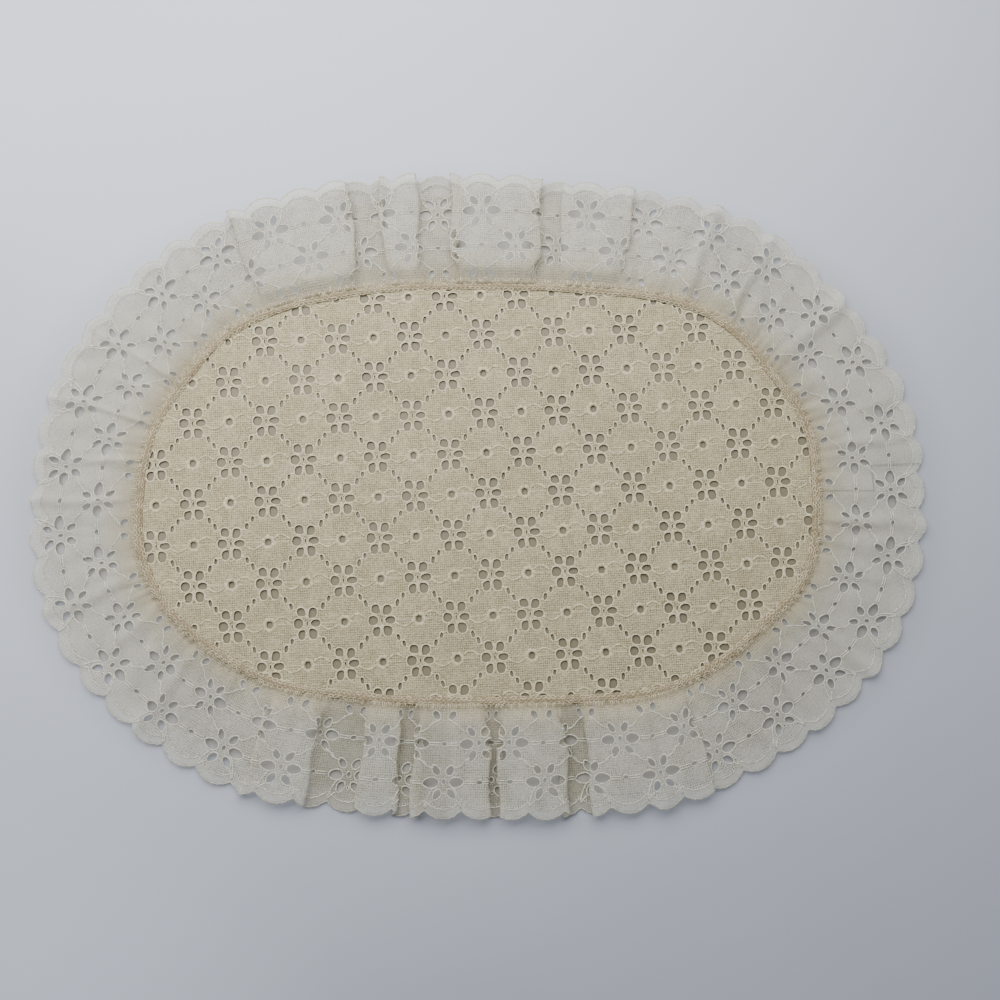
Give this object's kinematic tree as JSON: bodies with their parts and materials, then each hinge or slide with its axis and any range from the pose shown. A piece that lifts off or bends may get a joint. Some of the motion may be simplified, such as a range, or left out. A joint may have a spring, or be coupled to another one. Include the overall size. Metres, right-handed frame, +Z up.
{
  "type": "doily",
  "caption": "Oval eyelet-cloth doily with an overlocked seam and a gathered, scalloped lace ruffle that lies flat in soft box folds.",
  "frame": {"origin": "middle of the doily's box, on the surface it lies on", "axes": "+X along the long axis of the oval, +Y across it, +Z up from the surface"},
  "size_m": [0.4574, 0.3318, 0.008],
  "materials": {
    "panel_cloth": "matte cream cotton with eyelet embroidery",
    "seam_thread": "matte tan overlock stitching",
    "ruffle_lace": "sheer ivory cotton lace, slightly silky at its stitched edges"
  },
  "bodies": {
    "root": {"panel": "panel_cloth", "seam": "seam_thread", "ruffle": "ruffle_lace"}
  },
  "joints": []
}
